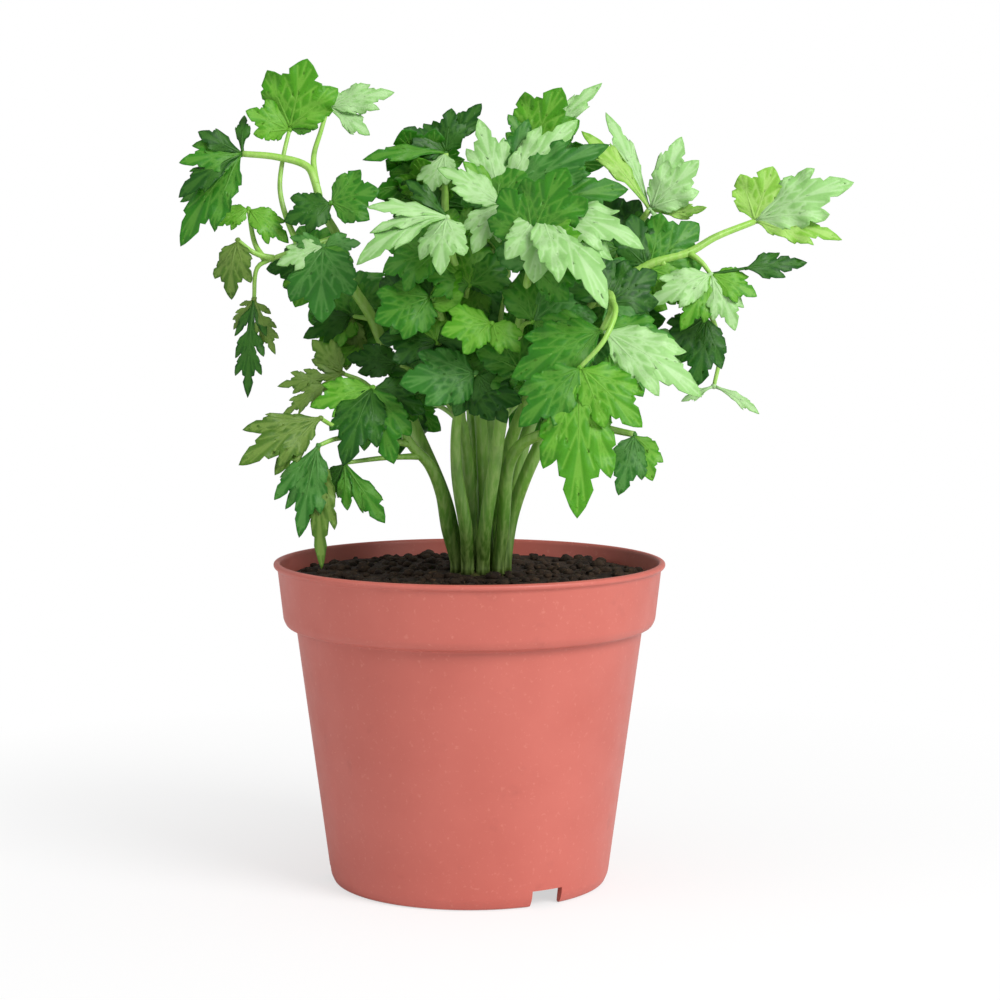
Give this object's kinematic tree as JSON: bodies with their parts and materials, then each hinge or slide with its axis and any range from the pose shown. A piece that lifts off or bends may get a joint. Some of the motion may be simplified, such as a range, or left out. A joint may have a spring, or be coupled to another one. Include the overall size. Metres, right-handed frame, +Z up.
{
  "type": "potted parsley",
  "caption": "Young parsley plant with lobed compound leaves on upright stalks, growing in dark soil in a round collared nursery pot.",
  "frame": {"origin": "on the standing plane, under the middle of the whole plant's bounding box; the pot's axis stands 15.4 mm to the left and 4.9 mm to the front of it, because the foliage reaches further right and back", "axes": "+Z up along the pot's axis; +X to the right and +Y to the back, as seen from the front"},
  "size_m": [0.2191, 0.1425, 0.272],
  "materials": {
    "pot": "matte terracotta coloured plastic with a faint sheen",
    "soil": "dark moist potting soil",
    "crown": "pale green plant tissue, soil stained",
    "stalk": "smooth ribbed green stem",
    "leaf": "thin satin leaf, translucent against light"
  },
  "bodies": {
    "root": {"crown": "crown", "leaf_back_left": "leaf", "leaf_back_low_left": "leaf", "leaf_back_low_right": "leaf", "leaf_back_mid": "leaf", "leaf_back_right": "leaf", "leaf_bright_mid": "leaf", "leaf_by_stalk": "leaf", "leaf_crest": "leaf", "leaf_dark_mid": "leaf", "leaf_dark_right": "leaf", "leaf_dark_top": "leaf", "leaf_far_left": "leaf", "leaf_far_right": "leaf", "leaf_front_big": "leaf", "leaf_front_pair": "leaf", "leaf_hang_left": "leaf", "leaf_left_fold": "leaf", "leaf_left_palm": "leaf", "leaf_low_fan": "leaf", "leaf_low_hang": "leaf", "leaf_low_pair": "leaf", "leaf_low_round": "leaf", "leaf_mid_dark": "leaf", "leaf_mid_left": "leaf", "leaf_mid_right": "leaf", "leaf_mid_round": "leaf", "leaf_olive_fingers": "leaf", "leaf_olive_left": "leaf", "leaf_over_rim": "leaf", "leaf_pale_centre": "leaf", "leaf_pale_left": "leaf", "leaf_pale_right": "leaf", "leaf_pale_top": "leaf", "leaf_right_cluster": "leaf", "leaf_right_mid": "leaf", "leaf_serrated_left": "leaf", "leaf_side_right": "leaf", "leaf_thin_right": "leaf", "leaf_top_back": "leaf", "leaf_top_left": "leaf", "leaf_under_crest": "leaf", "pot": "pot", "soil": "soil", "stalk_arch": "stalk", "stalk_back": "stalk", "stalk_back_left": "stalk", "stalk_centre": "stalk", "stalk_centre_left": "stalk", "stalk_far_back": "stalk", "stalk_front": "stalk", "stalk_front_left": "stalk", "stalk_front_right": "stalk", "stalk_low_left": "stalk", "stalk_mid_left": "stalk", "stalk_right": "stalk", "stalk_right_top": "stalk", "stalk_top_left": "stalk"}
  },
  "joints": []
}
